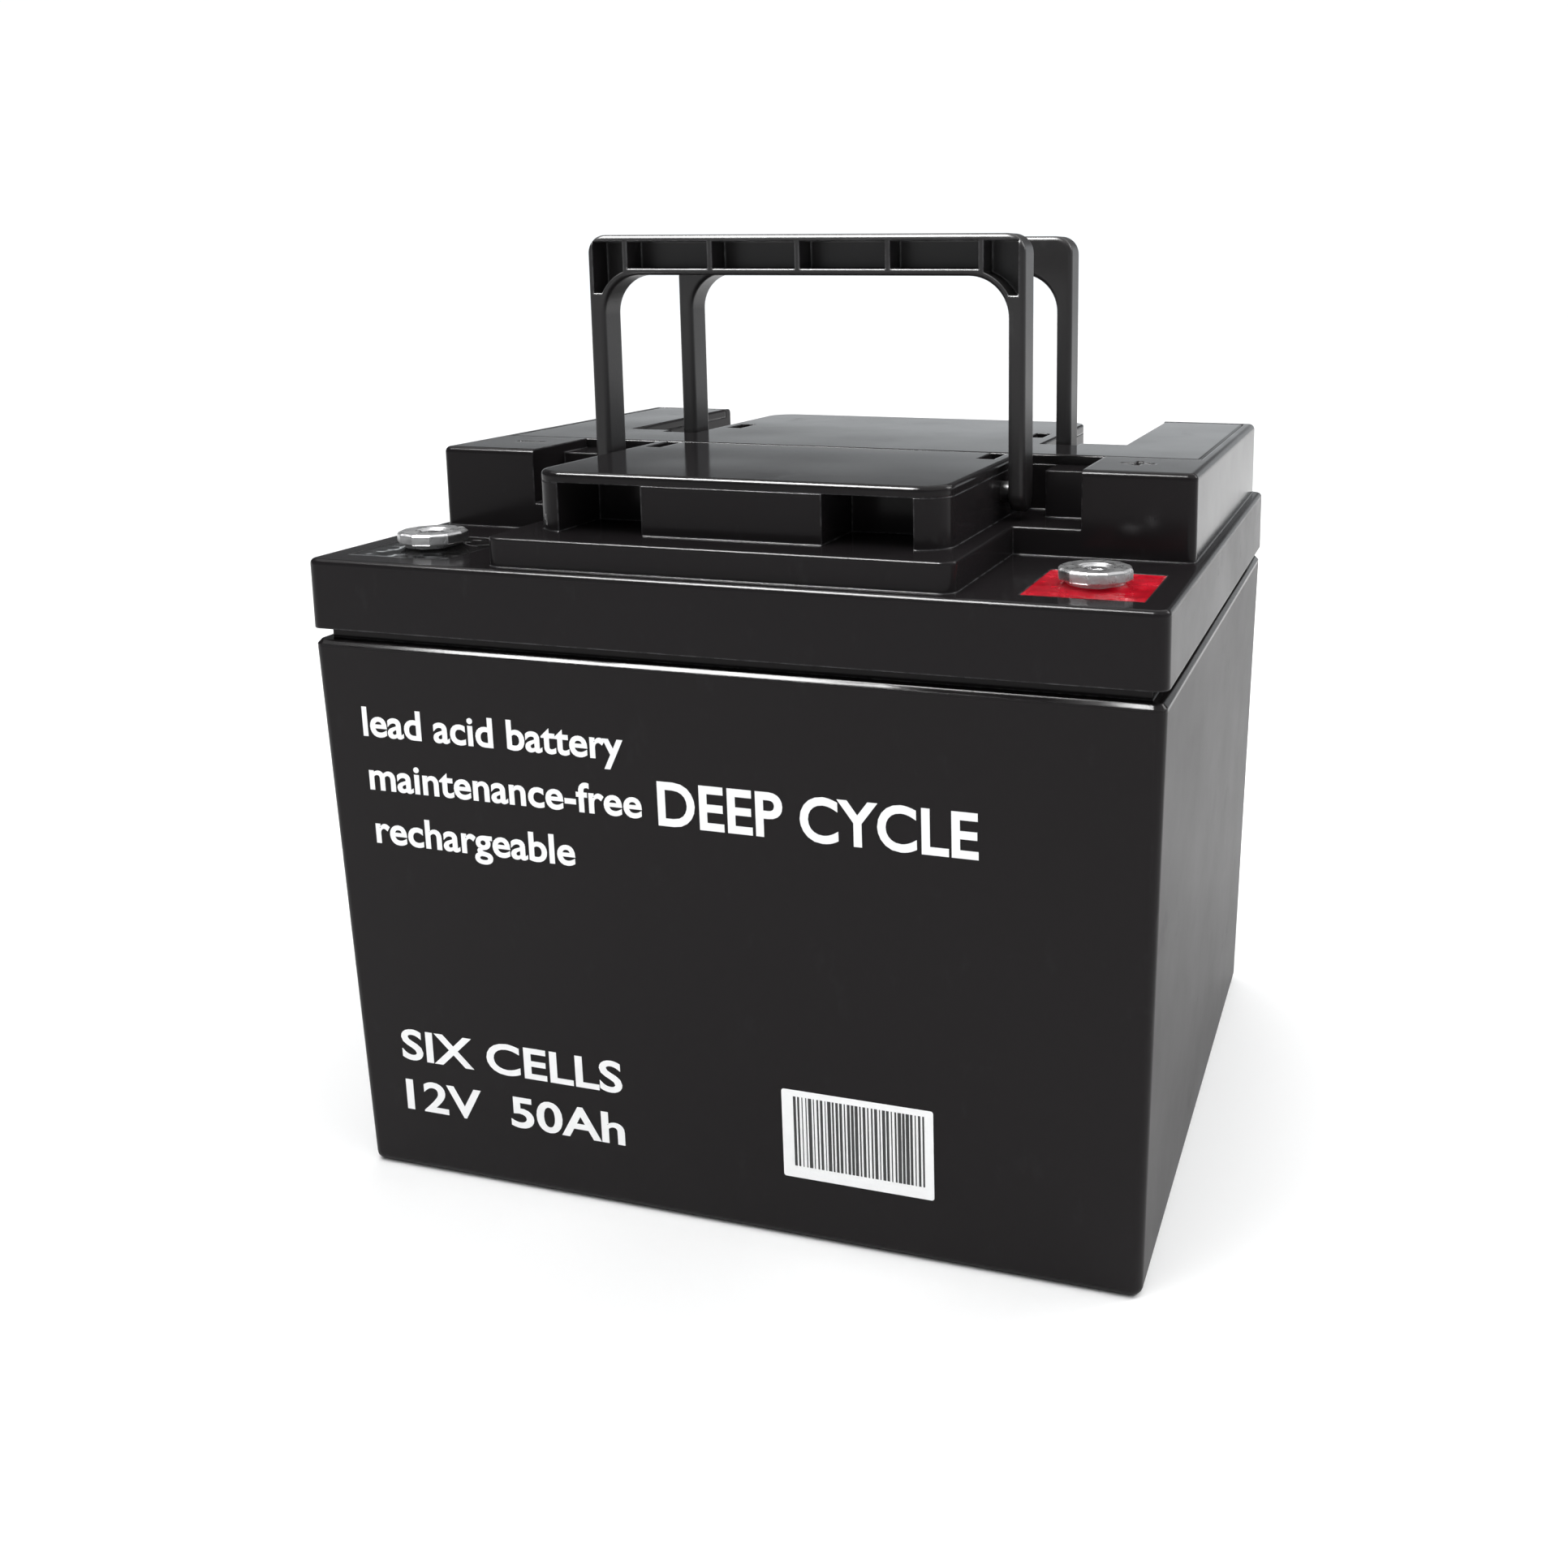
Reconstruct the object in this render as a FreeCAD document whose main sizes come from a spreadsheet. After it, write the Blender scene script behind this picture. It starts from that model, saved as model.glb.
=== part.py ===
import FreeCAD, Part
import os
import re
import Sketcher

# A sealed 12 volt deep cycle battery with six cells in a row and two folding carrying handles.
# Frame: +X to the right along the front, +Y to the rear, +Z up. The origin is the middle of the base.

# Driving dimensions in millimetres. Heights are measured from the base, and places from the middle.
SIZES = {
    # Container: a drafted tub with a neck that goes up into the lid.
    "case_width": 196.4,
    "case_depth": 164.4,
    "case_height": 131.2,
    "case_draft": 3.4,
    "case_corner": 2.5,
    "case_foot": 2.2,
    "shoulder_bevel": 1.0,
    "rim_inset": 3.2,
    "rim_top": 136.6,
    "floor_top": 4.0,
    "inside_width": 183.6,
    "inside_depth": 151.6,
    "partition_wall": 2.0,
    "cell_width": 28.93,
    "cell_pitch": 30.93,
    # Lid: skirt, low platform, side bars and raised block.
    "lid_width": 197.0,
    "lid_depth": 165.0,
    "lid_bottom": 134.0,
    "lid_seat": 137.0,
    "lid_corner": 3.0,
    "deck_top": 150.0,
    "deck_edge": 1.2,
    "roof_under": 147.0,
    "platform_top": 156.5,
    "platform_side": 54.0,
    "platform_end": 79.0,
    "platform_corner": 3.0,
    "platform_edge": 0.5,
    "bar_inner": 70.0,
    "bar_outer": 96.0,
    "bar_front": 33.0,
    "bar_rear": 80.5,
    "bar_corner": 2.0,
    "bar_edge": 1.5,
    "block_side": 49.0,
    "block_front": 68.0,
    "block_rear": 70.0,
    "block_corner": 7.2,
    "cover_seat": 167.6,
    "lid_top": 170.0,
    "cover_gap": 0.15,
    "seam_gap": 0.4,
    "seam_edge": 0.6,
    "cover_edge": 1.2,
    "seam_front": 7.0,
    "band_rear": 14.0,
    "pillar_inner": 58.0,
    "pillar_reach": 18.2,
    "recess_side": 93.2,
    "recess_rear": 77.3,
    "well_side": 90.6,
    "well_front": 4.0,
    "well_rear": 11.6,
    "well_floor": 157.0,
    "inner_wall": 3.0,
    "headspace_side": 38.5,
    "headspace_top": 164.6,
    "bar_space_inner": 73.0,
    "bar_space_front": 29.5,
    # Finger pockets in both ends of the block, and pry notches beside the covers.
    "finger_inner": 21.3,
    "finger_outer": 41.9,
    "finger_depth": 18.0,
    "notch_inner": 41.6,
    "notch_outer": 45.8,
    "notch_depth": 7.0,
    "front_notch_start": 20.0,
    "rear_notch_start": 27.6,
    "rear_notch_end": 38.0,
    # Valves: a chimney with a vent for each cell, and a rubber cap on it.
    "valve_place": 3.8,
    "chimney_radius": 5.0,
    "chimney_height": 6.5,
    "vent_radius": 2.0,
    "cap_bore": 5.05,
    "cap_radius": 6.4,
    "cap_skirt": 5.6,
    "cap_height": 7.6,
    # Handles: a U of moulded bar with a pin on the inside of each foot.
    "handle_side": 55.3,
    "handle_leg": 4.0,
    "handle_depth": 9.0,
    "handle_top": 222.5,
    "handle_bar": 9.6,
    "handle_outer_round": 4.5,
    "handle_inner_round": 9.5,
    "handle_edge": 1.2,
    "foot_round": 4.4,
    "pivot_place": 23.5,
    "pivot_height": 163.0,
    "pin_radius": 2.5,
    "pin_bore": 2.55,
    "pin_depth": 3.0,
    "pin_clearance": 0.2,
    "pin_root": 0.5,
    "rib_pitch": 22.5,
    "rib_wall": 1.2,
    "bar_wall": 1.5,
    "pocket_depth": 7.2,
    "corner_pocket_drop": 14.0,
    # Terminals: a threaded insert on a lead post, a sealing ring and a square pool of resin.
    "terminal_side": 79.5,
    "terminal_front": 61.5,
    "terminal_top": 154.0,
    "terminal_radius": 8.0,
    "terminal_disc": 2.5,
    "terminal_bevel": 0.5,
    "collar_radius": 6.4,
    "shank_radius": 5.5,
    "shank_bottom": 139.5,
    "thread_depth": 12.0,
    "post_hole": 5.8,
    "ring_seat": 8.1,
    "ring_seat_floor": 144.5,
    "ring_radius": 6.72,
    "ring_section": 1.2,
    "resin_half_width": 12.8,
    "resin_front": 75.0,
    "resin_rear": 47.5,
    "resin_top": 149.9,
    # Polarity marks engraved in the bars.
    "mark_side": 80.0,
    "mark_place": 17.5,
    "mark_half": 4.0,
    "mark_stroke": 0.9,
    "mark_depth": 0.5,
    # Plates, separators and lead straps of one cell.
    "plate_bottom": 6.0,
    "plate_top": 112.0,
    "plate_half_depth": 71.0,
    "plate_lug_top": 118.0,
    "plate_lug_place": 58.0,
    "plate_lug_half": 6.0,
    "positive_plate": 2.8,
    "negative_plate": 1.8,
    "separator_sheet": 1.0,
    "separator_bottom": 5.0,
    "separator_half_depth": 73.5,
    "separator_top": 114.0,
    "plate_pitch": 6.6,
    "strap_half_length": 13.9,
    "strap_front": 49.0,
    "strap_rear": 70.0,
    "strap_top": 124.0,
    "ear_wall": 3.0,
    "ear_front": 51.0,
    "ear_rear": 65.0,
    "ear_top": 134.0,
    "weld_height": 128.5,
    "weld_radius": 4.5,
    "weld_hole": 4.7,
    "weld_hole_overrun": 1.0,
}
CELL_COUNT = 6
CELLS = range(1, CELL_COUNT + 1)
POSITIVE_PLATES = 4
NEGATIVE_PLATES = 5
RIBS_EACH_SIDE = 2

# Slack in millimetres for finding edges by their place.
TOUCHING = 0.01
NEAR_CORNER = 0.6
TALL_EDGE = 10.0

doc = FreeCAD.newDocument("DeepCycleBattery")
sheet = doc.addObject("Spreadsheet::Sheet", "Sizes")
for row, (alias, size) in enumerate(SIZES.items(), 1):
    sheet.set(f"A{row}", alias)
    sheet.set(f"B{row}", str(size))
    sheet.setAlias(f"B{row}", alias)
doc.recompute()


def number(formula):
    """Work out a formula of sizes and plain numbers with + - * / and no brackets."""
    total = 0.0
    sign = 1.0
    for term in re.findall(r"[+-]|[^+-]+", formula.replace(" ", "")):
        if term in "+-":
            sign = -sign if term == "-" else sign
            continue
        product = 1.0
        operation = "*"
        for factor in re.findall(r"[*/]|[^*/]+", term):
            if factor in "*/":
                operation = factor
                continue
            amount = SIZES[factor] if factor in SIZES else float(factor)
            product = product * amount if operation == "*" else product / amount
        total += sign * product
        sign = 1.0
    return total


def bind(item, name, formula):
    """Tie a property to the sheet: every word with an underscore is one of its aliases."""
    item.setExpression(name, re.sub(r"[a-z]+(?:_[a-z]+)+", r"Sizes.\g<0>", formula))


def place(item, across="0", along="0", up="0", turn=0):
    """Move a sub-part to its place in the battery, turned about the vertical."""
    item.Placement.Rotation = FreeCAD.Rotation(FreeCAD.Vector(0, 0, 1), turn)
    bind(item, "Placement.Base.x", across)
    bind(item, "Placement.Base.y", along)
    bind(item, "Placement.Base.z", up)


# Sketches. A shape is a list of corners, or a disc given as ("disc", across, up, radius).
def box(left, right, low, high):
    """Corners of a rectangle."""
    return [(left, low), (right, low), (right, high), (left, high)]


def mirrored(formula):
    """The same formula on the other side of the middle; it doesn't start with a sign."""
    return "-" + formula.translate(str.maketrans("+-", "-+"))


def both_sides(left, right, low, high):
    """A rectangle and its mirror image across the middle."""
    return [box(left, right, low, high), box(mirrored(right), mirrored(left), low, high)]


def times(alias, factor):
    """Formula of a size times a number, with its sign in front."""
    return f"{'-' if factor < 0 else ''}{alias} * {abs(factor)}"


def fix_point(sketch, line, end, across, up):
    """Dimension a point of a sketch from the origin."""
    for kind, formula in (("DistanceX", across), ("DistanceY", up)):
        index = sketch.addConstraint(Sketcher.Constraint(kind, -1, 1, line, end, number(formula)))
        bind(sketch, f"Constraints[{index}]", formula)


def draw_outline(sketch, corners):
    """Draw a closed outline of straight lines through fixed corners."""
    first = sketch.GeometryCount
    count = len(corners)
    points = [FreeCAD.Vector(number(across), number(up), 0) for across, up in corners]
    for step in range(count):
        sketch.addGeometry(Part.LineSegment(points[step], points[(step + 1) % count]), False)
    for step in range(count):
        after = first + (step + 1) % count
        sketch.addConstraint(Sketcher.Constraint("Coincident", first + step, 2, after, 1))
    for step, (across, up) in enumerate(corners):
        fix_point(sketch, first + step, 1, across, up)


def draw_disc(sketch, across, up, radius):
    """Draw a circle with a fixed centre and radius."""
    middle = FreeCAD.Vector(number(across), number(up), 0)
    circle = sketch.addGeometry(Part.Circle(middle, FreeCAD.Vector(0, 0, 1), number(radius)), False)
    fix_point(sketch, circle, 3, across, up)
    index = sketch.addConstraint(Sketcher.Constraint("Radius", circle, number(radius)))
    bind(sketch, f"Constraints[{index}]", radius)


def new_body(label, compound=False):
    """Start a sub-part; a group of like solids is a compound."""
    body = doc.addObject("PartDesign::Body", label)
    body.Label = label
    body.AllowCompound = compound
    return body


def origin_item(body, role):
    """Find one of the body's own origin planes or axes."""
    return next(item for item in body.Origin.OriginFeatures if item.Role == role)


def new_sketch(body, name, shapes, offset, role="XY_Plane"):
    """Draw shapes on a plane parallel to one of the body's own origin planes."""
    sketch = body.newObject("Sketcher::SketchObject", name + "Sketch")
    sketch.AttachmentSupport = [(origin_item(body, role), "")]
    sketch.MapMode = "FlatFace"
    bind(sketch, "AttachmentOffset.Base.z", offset)
    for shape in shapes:
        if shape[0] == "disc":
            draw_disc(sketch, *shape[1:])
        else:
            draw_outline(sketch, shape)
    return sketch


def add(body, name, shapes, bottom, top, role="XY_Plane"):
    """Pad shapes from one level to a higher one."""
    pad = body.newObject("PartDesign::Pad", name)
    pad.Profile = new_sketch(body, name, shapes, bottom, role)
    bind(pad, "Length", f"{top} - ({bottom})")
    doc.recompute()
    return pad


def cut(body, name, shapes, bottom, top, role="XY_Plane", upward=False):
    """Cut shapes between two levels, and check that something was removed."""
    before = body.Shape.Volume
    pocket = body.newObject("PartDesign::Pocket", name)
    pocket.Profile = new_sketch(body, name, shapes, bottom if upward else top, role)
    pocket.Reversed = upward
    bind(pocket, "Length", f"{top} - ({bottom})")
    doc.recompute()
    if not body.Shape.Volume < before - TOUCHING:
        raise RuntimeError(f"{body.Label}: {name} removes nothing")
    return pocket


def dress(body, kind, name, test, formula):
    """Round or bevel the edges of the body's last feature that pass a test."""
    base = body.Tip
    names = [f"Edge{index}" for index, edge in enumerate(base.Shape.Edges, 1) if test(edge)]
    feature = body.newObject("PartDesign::" + kind, name)
    feature.Base = (base, names)
    bind(feature, "Radius" if kind == "Fillet" else "Size", formula)
    doc.recompute()
    return feature


def span(edge):
    """Extent of an edge along X, Y and Z."""
    limits = edge.BoundBox
    return limits.XLength, limits.YLength, limits.ZLength


def stands_at(edge, corners):
    """True for an upright edge whose middle is at one of the given places."""
    wide, deep, high = span(edge)
    middle = edge.BoundBox.Center
    near = any(abs(middle.x - x) < NEAR_CORNER and abs(middle.y - y) < NEAR_CORNER for x, y in corners)
    return near and high > max(wide, deep)


def lies_at(edge, height):
    """True for an edge that lies level at a height."""
    limits = edge.BoundBox
    return limits.ZLength < TOUCHING and abs(limits.ZMin - height) < TOUCHING


def is_tall(edge):
    """True for an upright edge at a corner of a large block."""
    return span(edge)[2] > TALL_EDGE


def corners_at(side, *ends):
    """Places of the corners on both sides at the given ends."""
    return [(turn * SIZES[side], number(end)) for turn in (-1, 1) for end in ends]


def cell_middle(cell):
    """Formula of a cell's middle, cells being counted from the left."""
    return times("cell_pitch", cell - (CELL_COUNT + 1) / 2)


def cell_box(cell, low, high):
    """Rectangle as wide as a cell."""
    middle = cell_middle(cell)
    return box(f"{middle} - cell_width / 2", f"{middle} + cell_width / 2", low, high)


def cell_openings():
    """The six cells seen from above."""
    return [cell_box(cell, "-inside_depth / 2", "inside_depth / 2") for cell in CELLS]


def rim_box(inset):
    """Outline of the container's neck, set in from its walls by a formula."""
    wide = f"case_width / 2 - {inset}"
    deep = f"case_depth / 2 - {inset}"
    return box(mirrored(wide), wide, mirrored(deep), deep)


# Container: drafted tub with six open cells, and a hole through each partition for the lead weld.
def make_container():
    body = new_body("container")
    foot_side = "case_width / 2 - case_draft"
    foot_end = "case_depth / 2 - case_draft"
    foot = box("-case_width / 2 + case_draft", foot_side, "-case_depth / 2 + case_draft", foot_end)
    tub = add(body, "Tub", [foot], "0", "case_height")
    bind(tub, "TaperAngle", "atan(case_draft / case_height)")
    doc.recompute()
    dress(body, "Fillet", "Corners", is_tall, "case_corner")
    dress(body, "Fillet", "FootEdge", lambda edge: lies_at(edge, 0), "case_foot")
    height = SIZES["case_height"]
    dress(body, "Chamfer", "Shoulder", lambda edge: lies_at(edge, height), "shoulder_bevel")
    add(body, "Rim", [rim_box("rim_inset")], "case_height", "rim_top")
    cut(body, "Cells", cell_openings(), "floor_top", "rim_top")
    for wall in CELLS[:-1]:
        side = "" if wall % 2 else "-"
        hole = ("disc", f"{side}plate_lug_place", "weld_height", "weld_hole")
        left = f"{cell_middle(wall)} + cell_width / 2 - weld_hole_overrun"
        right = f"{cell_middle(wall + 1)} - cell_width / 2 + weld_hole_overrun"
        cut(body, f"WeldHole{wall}", [hole], left, right, "YZ_Plane")
    place(body)
    return body


# Bead of resin that seals the container's rim and partitions to the lid.
def make_sealing_resin():
    body = new_body("sealing_resin")
    add(body, "Bead", [rim_box("rim_inset")], "rim_top", "lid_seat")
    cut(body, "Cells", cell_openings(), "rim_top", "lid_seat")
    place(body)
    return body


def on_platform_rim(edge):
    """True for the top edges of the platform, apart from those against the bars."""
    free = abs(edge.BoundBox.Center.x) < SIZES["bar_inner"] - TOUCHING
    return free and lies_at(edge, SIZES["platform_top"])


def on_bar_rim(edge):
    """True for the top edges of a bar, apart from its inner one."""
    outside = abs(edge.BoundBox.Center.x) > SIZES["bar_inner"] + TOUCHING
    return outside and lies_at(edge, SIZES["lid_top"])


def lid_outside(body):
    """Skirt, platform, bars, block and the bridges between block and bars."""
    skirt = box("-lid_width / 2", "lid_width / 2", "-lid_depth / 2", "lid_depth / 2")
    add(body, "Skirt", [skirt], "lid_bottom", "deck_top")
    dress(body, "Fillet", "SkirtCorners", is_tall, "lid_corner")
    deck = SIZES["deck_top"]
    dress(body, "Fillet", "DeckEdge", lambda edge: lies_at(edge, deck), "deck_edge")
    platform = [
        ("-platform_side", "-platform_end"),
        ("platform_side", "-platform_end"),
        ("platform_side", "-bar_front"),
        ("bar_inner", "-bar_front"),
        ("bar_inner", "platform_end"),
        ("-bar_inner", "platform_end"),
        ("-bar_inner", "-bar_front"),
        ("-platform_side", "-bar_front"),
    ]
    add(body, "Platform", [platform], "deck_top", "platform_top")
    ends = corners_at("platform_side", "-platform_end")
    dress(body, "Fillet", "PlatformCorners", lambda edge: stands_at(edge, ends), "platform_corner")
    dress(body, "Fillet", "PlatformEdge", on_platform_rim, "platform_edge")
    add(body, "Bars", both_sides("bar_inner", "bar_outer", "-bar_front", "bar_rear"), "deck_top", "lid_top")
    bars = corners_at("bar_outer", "-bar_front", "bar_rear")
    dress(body, "Fillet", "BarCorners", lambda edge: stands_at(edge, bars), "bar_corner")
    dress(body, "Fillet", "BarEdge", on_bar_rim, "bar_edge")
    block = box("-block_side", "block_side", "-block_front", "block_rear")
    add(body, "Block", [block], "platform_top", "cover_seat")
    block_corners = corners_at("block_side", "-block_front", "block_rear")
    dress(body, "Fillet", "BlockCorners", lambda edge: stands_at(edge, block_corners), "block_corner")
    bridge = both_sides("block_side", "bar_inner", "-seam_front", "band_rear")
    add(body, "Bridges", bridge, "platform_top", "cover_seat")
    front_pillars = both_sides("pillar_inner", "bar_inner", "-pillar_reach", "-seam_front")
    rear_pillars = both_sides("pillar_inner", "bar_inner", "band_rear", "pillar_reach")
    add(body, "Pillars", front_pillars + rear_pillars, "platform_top", "cover_seat")


def lid_top_cuts(body):
    """Recess for the rear cover, valve well, finger pockets, notches, resin wells and marks."""
    recess = both_sides("bar_inner", "recess_side", "-seam_front", "recess_rear")
    cut(body, "CoverRecess", recess, "cover_seat", "lid_top")
    well = box("-well_side", "well_side", "-well_front", "well_rear")
    cut(body, "ValveWell", [well], "well_floor", "cover_seat")
    front = both_sides("finger_inner", "finger_outer", "-block_front", "-block_front + finger_depth")
    rear = both_sides("finger_inner", "finger_outer", "block_rear - finger_depth", "block_rear")
    cut(body, "FingerPockets", front + rear, "platform_top", "cover_seat")
    front = both_sides("notch_inner", "notch_outer", "-front_notch_start", "-seam_front")
    rear = both_sides("notch_inner", "notch_outer", "rear_notch_start", "rear_notch_end")
    cut(body, "Notches", front + rear, "cover_seat - notch_depth", "cover_seat")
    left = "terminal_side - resin_half_width"
    right = "terminal_side + resin_half_width"
    cut(body, "ResinWells", both_sides(left, right, "-resin_front", "-resin_rear"), "roof_under", "deck_top")
    left = "mark_side - mark_half"
    right = "mark_side + mark_half"
    strokes = both_sides(left, right, "-mark_place - mark_stroke", "-mark_place + mark_stroke")
    cut(body, "LevelStrokes", strokes, "lid_top - mark_depth", "lid_top")
    left = "mark_side - mark_stroke"
    right = "mark_side + mark_stroke"
    upright = box(left, right, "-mark_place - mark_half", "-mark_place + mark_half")
    cut(body, "UprightStroke", [upright], "lid_top - mark_depth", "lid_top")


def lid_underside(body):
    """Rim groove, headspace over each cell, and the ways through for valves and posts."""
    cut(body, "RimGroove", [rim_box("rim_inset + cover_gap")], "lid_bottom", "lid_seat")
    spaces = []
    for cell in CELLS:
        front = "-resin_rear + inner_wall" if cell in (1, CELL_COUNT) else "-inside_depth / 2"
        spaces.append(cell_box(cell, front, "inside_depth / 2"))
    cut(body, "Headspace", spaces, "lid_seat", "roof_under")
    before_well = "-well_front - inner_wall"
    behind_well = "well_rear + inner_wall"
    upper = []
    behind_front = "-block_front + finger_depth + inner_wall"
    before_rear = "block_rear - finger_depth - inner_wall"
    for low, high in ((behind_front, before_well), (behind_well, before_rear)):
        upper += both_sides("cell_pitch / 2 - cell_width / 2", "cell_pitch / 2 + cell_width / 2", low, high)
        upper += both_sides("cell_pitch * 1.5 - cell_width / 2", "headspace_side", low, high)
    cut(body, "BlockSpace", upper, "roof_under", "headspace_top")
    bars = []
    for low, high in (("-bar_space_front", before_well), (behind_well, "inside_depth / 2")):
        bars += both_sides("bar_space_inner", "inside_width / 2", low, high)
    cut(body, "BarSpace", bars, "roof_under", "headspace_top")
    chimneys = [("disc", cell_middle(cell), "valve_place", "chimney_radius") for cell in CELLS]
    add(body, "Chimneys", chimneys, "well_floor", "well_floor + chimney_height")
    vents = [("disc", cell_middle(cell), "valve_place", "vent_radius") for cell in CELLS]
    cut(body, "Vents", vents, "roof_under", "well_floor + chimney_height")
    posts = [("disc", f"{side}terminal_side", "-terminal_front", "post_hole") for side in ("", "-")]
    cut(body, "PostHoles", posts, "lid_seat", "roof_under")
    seats = [("disc", f"{side}terminal_side", "-terminal_front", "ring_seat") for side in ("", "-")]
    cut(body, "RingSeats", seats, "ring_seat_floor", "roof_under")


# Lid: one moulding with a skirt over the rim, terminal decks, side bars and a block for the covers.
def make_lid():
    body = new_body("lid")
    lid_outside(body)
    lid_top_cuts(body)
    lid_underside(body)
    bores = [("disc", f"{side}pivot_place", "pivot_height", "pin_bore") for side in ("", "-")]
    reach = "block_side - pin_depth - pin_clearance"
    cut(body, "RightPivots", bores, reach, "block_side", "YZ_Plane")
    cut(body, "LeftPivots", bores, "-block_side", "-block_side + pin_depth + pin_clearance", "YZ_Plane", True)
    place(body)
    return body


def on_cover_top(edge):
    """True for the edges of a cover's top face."""
    return lies_at(edge, SIZES["lid_top"])


def along_seam(edge):
    """True for the top edge of a cover that lies along the seam between the two covers."""
    return on_cover_top(edge) and abs(edge.BoundBox.Center.y + SIZES["seam_front"]) < NEAR_CORNER


def before_seam(edge):
    """True for the front and side edges of the front cover's top."""
    return on_cover_top(edge) and edge.BoundBox.Center.y < -2 * SIZES["seam_front"]


# Front cover: plate over the front half of the block, which closes the finger pockets from above.
def make_front_cover():
    body = new_body("front_cover")
    plate = box("-block_side", "block_side", "-block_front", "-seam_front - seam_gap")
    add(body, "Plate", [plate], "cover_seat", "lid_top")
    ends = corners_at("block_side", "-block_front")
    dress(body, "Fillet", "Corners", lambda edge: stands_at(edge, ends), "block_corner")
    dress(body, "Fillet", "SeamEdge", along_seam, "seam_edge")
    dress(body, "Fillet", "Edge", before_seam, "cover_edge")
    notches = both_sides("notch_inner", "notch_outer", "-front_notch_start", "-seam_front")
    cut(body, "Notches", notches, "cover_seat", "lid_top")
    place(body)
    return body


# Rear cover: plate over the rear half of the block, the valve well and the rear of both bars.
def make_rear_cover():
    body = new_body("rear_cover")
    right = [
        ("recess_side - seam_gap", "-seam_front + seam_gap"),
        ("recess_side - seam_gap", "recess_rear - seam_gap"),
        ("bar_inner", "recess_rear - seam_gap"),
        ("bar_inner", "pillar_reach"),
        ("pillar_inner", "pillar_reach"),
        ("pillar_inner", "band_rear"),
        ("block_side", "band_rear"),
        ("block_side", "block_rear"),
    ]
    left = [(mirrored(across), up) for across, up in reversed(right)]
    add(body, "Plate", [right + left], "cover_seat", "lid_top")
    ends = corners_at("block_side", "block_rear")
    dress(body, "Fillet", "Corners", lambda edge: stands_at(edge, ends), "block_corner")
    dress(body, "Fillet", "Edge", on_cover_top, "seam_edge")
    notches = both_sides("notch_inner", "notch_outer", "rear_notch_start", "rear_notch_end")
    cut(body, "Notches", notches, "cover_seat", "lid_top")
    place(body)
    return body


# Rubber cap of a valve, pushed over its chimney.
def make_valve_cap(cell):
    label = f"valve_cap_{cell}"
    skin = doc.addObject("Part::Cylinder", label + "_skin")
    bind(skin, "Radius", "cap_radius")
    bind(skin, "Height", "cap_height")
    bore = doc.addObject("Part::Cylinder", label + "_bore")
    bind(bore, "Radius", "cap_bore")
    bind(bore, "Height", "cap_skirt")
    cap = doc.addObject("Part::Cut", label)
    cap.Label = label
    cap.Base = skin
    cap.Tool = bore
    place(cap, cell_middle(cell), "valve_place", "well_floor + chimney_height - cap_skirt")
    return cap


def corner_pocket(body, turn):
    """Draw the open pocket at a top corner of a handle, bounded below by the inner bend."""
    bend_middle = "handle_side - handle_leg - handle_inner_round"
    places = ["rib_pitch * 2 + rib_wall / 2", "handle_side - bar_wall", bend_middle]
    rib_face, leg_face, bend_middle = places if turn > 0 else map(mirrored, places)
    name = "RightCorner" if turn > 0 else "LeftCorner"
    sketch = new_sketch(body, name, [], "pivot_place + handle_depth / 2", "XZ_Plane")
    middle = FreeCAD.Vector(number(bend_middle), number("handle_top - handle_bar - handle_inner_round"), 0)
    bend = number("handle_inner_round + bar_wall")
    near = number(rib_face)
    far = number(leg_face)
    high = number("handle_top - bar_wall")
    low = number("handle_top - corner_pocket_drop")
    low_near = FreeCAD.Vector(middle.x + turn * (bend**2 - (low - middle.y) ** 2) ** 0.5, low, 0)
    bend_top = FreeCAD.Vector(near, middle.y + (bend**2 - (near - middle.x) ** 2) ** 0.5, 0)
    top_near = FreeCAD.Vector(near, high, 0)
    top_far = FreeCAD.Vector(far, high, 0)
    low_far = FreeCAD.Vector(far, low, 0)
    for start, end in ((top_near, top_far), (top_far, low_far), (low_far, low_near), (bend_top, top_near)):
        sketch.addGeometry(Part.LineSegment(start, end), False)
    outward = (low_near + bend_top) * 0.5 - middle
    outward.normalize()
    ends = (low_near, bend_top) if turn > 0 else (bend_top, low_near)
    sketch.addGeometry(Part.Arc(ends[0], middle + outward * bend, ends[1]), False)
    at_low = 1 if turn > 0 else 2
    for first, first_end, second, second_end in (
        (0, 2, 1, 1),
        (1, 2, 2, 1),
        (2, 2, 4, at_low),
        (4, 3 - at_low, 3, 1),
        (3, 2, 0, 1),
    ):
        sketch.addConstraint(Sketcher.Constraint("Coincident", first, first_end, second, second_end))
    for line, kind in ((0, "Horizontal"), (1, "Vertical"), (2, "Horizontal"), (3, "Vertical")):
        sketch.addConstraint(Sketcher.Constraint(kind, line))
    fix_point(sketch, 0, 1, rib_face, "handle_top - bar_wall")
    fix_point(sketch, 1, 2, leg_face, "handle_top - corner_pocket_drop")
    fix_point(sketch, 4, 3, bend_middle, "handle_top - handle_bar - handle_inner_round")
    index = sketch.addConstraint(Sketcher.Constraint("Radius", 4, bend))
    bind(sketch, f"Constraints[{index}]", "handle_inner_round + bar_wall")
    return sketch


def crosses_bar(edge, height):
    """True for an edge that runs through the depth of a handle and starts at a height."""
    through = span(edge)[1] > SIZES["handle_depth"] - TOUCHING
    return through and abs(edge.BoundBox.ZMin - height) < TOUCHING


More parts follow.
